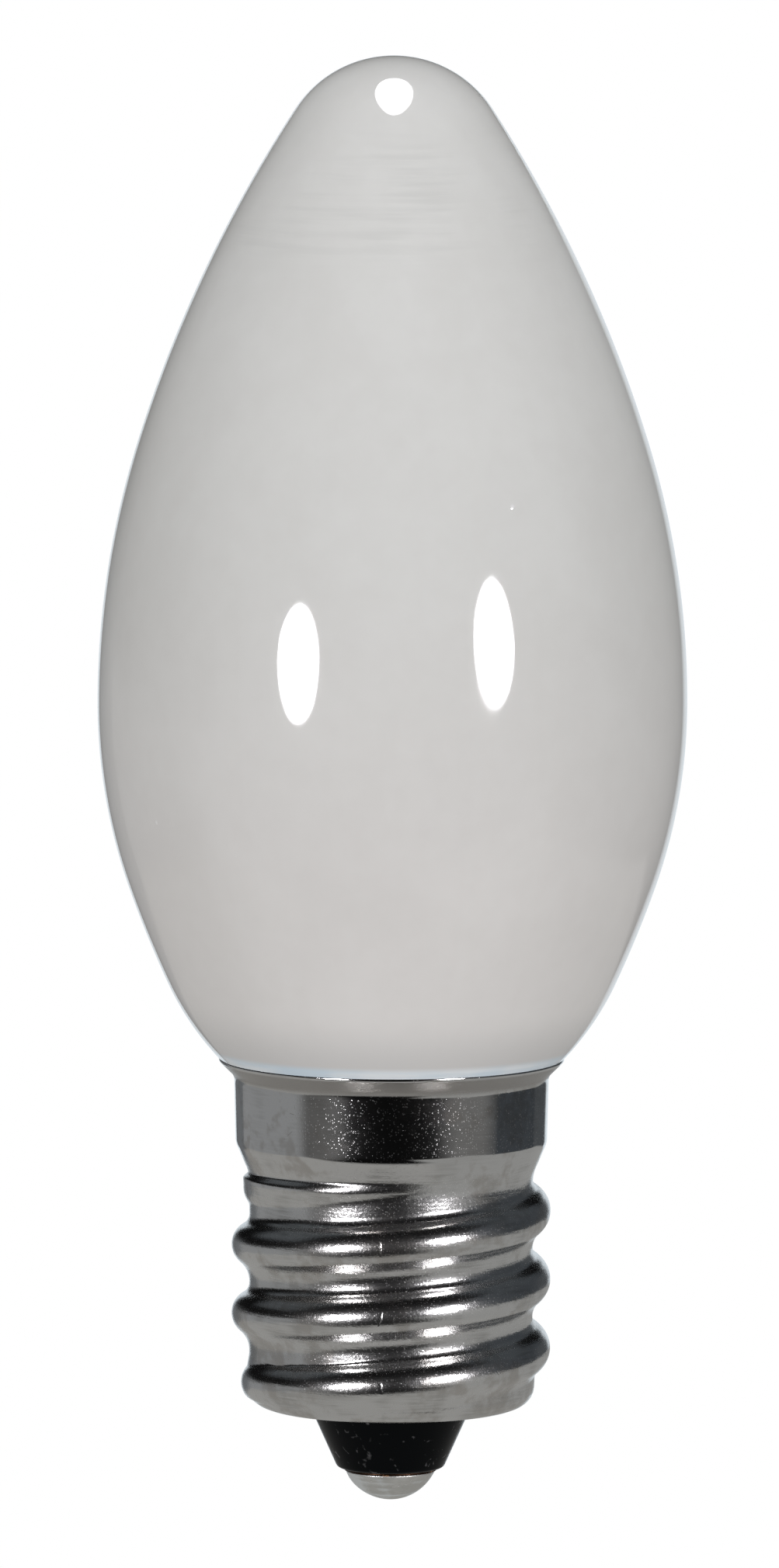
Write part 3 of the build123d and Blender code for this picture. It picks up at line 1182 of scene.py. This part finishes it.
@dataclass(frozen=True)
class Card:
    """A flat pale card of the studio, given by its middle and its two half sides, in mm."""

    name: str
    middle: Point
    half_wide: Point
    half_high: Point
    colour: Point
    radiance: float
    soft: float = 0.12
    seen: Seen = Seen.REFLECTION

    def build(self) -> None:
        """Stand the card, which shines from its front and is clear from behind."""
        sides = np.array([(-1, -1), (1, -1), (1, 1), (-1, 1)])
        corners = np.array(self.middle) + sides @ np.array([self.half_wide, self.half_high])
        mesh = bpy.data.meshes.new(self.name)
        mesh.from_pydata((corners * MM).tolist(), [], [(0, 1, 2, 3)])
        mesh.uv_layers.new(name="card").data.foreach_set("uv", (sides.ravel() + 1) / 2)
        mesh.materials.append(self.paper())
        card = bpy.data.objects.new(self.name, mesh)
        bpy.context.scene.collection.objects.link(card)
        reflection = self.seen is Seen.REFLECTION
        card.visible_camera = not reflection
        card.visible_diffuse = not reflection
        card.visible_glossy = reflection
        card.visible_shadow = False

    def paper(self) -> bpy.types.Material:
        """Make the card's own glow: white to the camera, its colour and radiance to the bulb.

        Towards its edges the card clears with a smooth step, over a share of its sides.

        Returns:
            The material.
        """
        material = bpy.data.materials.new(self.name)
        material.use_nodes = True
        tree = material.node_tree
        tree.nodes.remove(tree.nodes["Principled BSDF"])
        wires = Wiring(tree)
        to_camera = wires.node("ShaderNodeLightPath").outputs["Is Camera Ray"]
        colour = wires.tint(to_camera, (*self.colour, 1.0), WHITE)
        power = wires.between(to_camera, (self.radiance, 1.0))
        glow = wires.node("ShaderNodeEmission", {"Color": colour, "Strength": power}).outputs[0]
        across, up, _ = wires.axes(wires.node("ShaderNodeTexCoord").outputs["UV"])
        solid = wires.opposite(wires.node("ShaderNodeNewGeometry").outputs["Backfacing"])
        for side in (across, up):
            for edge in ((0.0, self.soft), (1.0, 1.0 - self.soft)):
                solid = wires.times(solid, wires.eased(side, edge))
        clear = wires.node("ShaderNodeBsdfTransparent").outputs[0]
        front = wires.node("ShaderNodeMixShader", {0: solid, 1: clear, 2: glow}).outputs[0]
        wires.feed(tree.nodes["Material Output"].inputs["Surface"], front)
        return material


@dataclass(frozen=True)
class Studio:
    """The pale floor, the cards and lights round the bulb, and the white that the camera sees behind it.

    The softboxes light dull surfaces. The glints, a little nearer, are what the gloss shows of them.
    """

    lights: tuple[SoftLight, ...] = (
        SoftLight("left_softbox", -37.0, 3.0, 16.5, 15.0, 10.0, Seen.DULL_SURFACES),
        SoftLight("right_softbox", 40.0, 5.5, 16.5, 16.5, 10.0, Seen.DULL_SURFACES),
        SoftLight("left_glint", -37.0, 3.0, 16.5, 15.0, 27.0, Seen.REFLECTION, distance=480.0),
        SoftLight("right_glint", 40.0, 5.5, 16.5, 16.5, 29.0, Seen.REFLECTION, distance=480.0),
        SoftLight("overhead_light", 0.0, 88.0, 28.0, 48.0, 2.5, Seen.DULL_SURFACES),
        SoftLight("overhead_glint", 0.0, 87.0, 26.0, 46.0, 10.5, Seen.GLOBE_ALONE, distance=480.0),
        SoftLight("rear_light", 180.0, 8.0, 22.0, 22.0, 5.0, Seen.DULL_SURFACES),
    )
    cards: tuple[Card, ...] = (
        Card("floor", (0, 0, 0), (700, 0, 0), (0, 700, 0), (1.0, 0.97, 0.95), 0.48,
             seen=Seen.CAMERA_AND_LIGHT),
        Card("table", (-30, 60, -60), (180, 0, 0), (0, 155, 0), (1.0, 0.99, 0.96), 0.34),
        Card("near_table", (37, 8, -1), (30, 0, 0), (0, 58, 0), (1.0, 1.0, 0.98), 0.32),
        Card("left_card", (-200, 105, -90), (0, 225, 0), (0, 0, 112), (0.96, 0.98, 1.0), 0.28),
        Card("left_rear_card", (-165, 300, -60), (75, 110, 0), (0, 0, 110), (0.9, 0.95, 1.0), 0.16, soft=0.3),
        Card("left_wing", (-155, -120, -45), (-55, 75, 0), (0, 0, 75), (1.0, 0.99, 0.97), 0.12, soft=0.4),
        Card("right_wing", (172, -95, -45), (62, 92, 0), (0, 0, -75), (1.0, 0.99, 0.97), 0.17, soft=0.4),
        Card("right_card", (220, 110, 60), (0, -260, 0), (0, 0, 150), (0.78, 0.88, 1.0), 0.06),
        Card("rear_card", (180, 240, 0), (80, -100, 0), (0, 0, 110), (0.86, 0.93, 1.0), 0.08, soft=0.3),
        Card("left_sky", (-150, 80, 170), (0, 150, 0), (90, 0, 80), (0.85, 0.93, 1.0), 0.09, soft=0.3),
        Card("right_sky", (150, 80, 170), (0, -150, 0), (-90, 0, 80), (0.8, 0.9, 1.0), 0.07, soft=0.3),
        Card("backdrop", (30, 400, -18), (146, 0, 0), (0, 0, 115), (0.86, 0.94, 1.0), 0.9, soft=0.06),
    )
    surround: float = 0.003
    fill: float = 0.3

    def build(self) -> None:
        """Hang the lights, stand the cards and set the world round them."""
        low, high = CAD_BOX
        globe_only = bpy.data.collections.new("globe_only")
        globe_only.objects.link(bpy.data.objects[GLOBE_PIECE])
        for light in self.lights:
            light.build((low + high) / 2, globe_only)
        for card in self.cards:
            card.build()
        world = bpy.data.worlds.new("studio")
        bpy.context.scene.world = world
        world.use_nodes = True
        wires = Wiring(world.node_tree)
        background = world.node_tree.nodes["Background"]
        rays = wires.node("ShaderNodeLightPath").outputs
        unlit = wires.between(rays["Is Diffuse Ray"], (self.surround, self.fill))
        wires.feed(background.inputs["Strength"], wires.math("MAXIMUM", unlit, rays["Is Camera Ray"]))
        wires.feed(background.inputs["Color"], WHITE)
        world.cycles.sampling_method = "NONE"
        bpy.context.scene.view_settings.view_transform = "Standard"


@dataclass(frozen=True)
class Camera:
    """The long lens in front of the bulb. Lengths in mm, angles in degrees."""

    elevation: float = 6.5
    roll: float = 0.15
    distance: float = 600.0
    frame_height: float = 57.22
    aim: Point = (-0.1, 0.0, 26.38)
    sensor: float = 36.0
    clip: Span = (10.0, 10000.0)

    def build(self) -> None:
        """Stand the camera and make it the scene's own.

        The sensor's width is the frame's long side, its height here, so the lens is sensor times distance
        over the height of the frame.
        """
        data = bpy.data.cameras.new("camera")
        data.sensor_width = self.sensor
        data.lens = self.sensor * self.distance / self.frame_height
        data.clip_start = self.clip[0] * MM
        data.clip_end = self.clip[1] * MM
        camera = bpy.data.objects.new("camera", data)
        bpy.context.scene.collection.objects.link(camera)
        rise = math.radians(self.elevation)
        back = Vector((0.0, -math.cos(rise), math.sin(rise)))
        turn = back.to_track_quat("Z", "Y").to_matrix().to_4x4()
        roll = Matrix.Rotation(math.radians(self.roll), 4, "Z")
        place = Matrix.Translation((Vector(self.aim) + back * self.distance) * MM)
        camera.matrix_world = place @ turn @ roll
        bpy.context.scene.camera = camera


def main() -> None:
    """Build the bulb's pieces in order, then its studio and camera."""
    logging.basicConfig(level=logging.INFO, format="%(name)s: %(message)s")
    effects = Effects()
    for assembly in (Globe, ScrewShell, Insulator, CentreContact):
        assembly(effects).build()
    Studio().build()
    Camera().build()


if __name__ == "__main__":
    main()
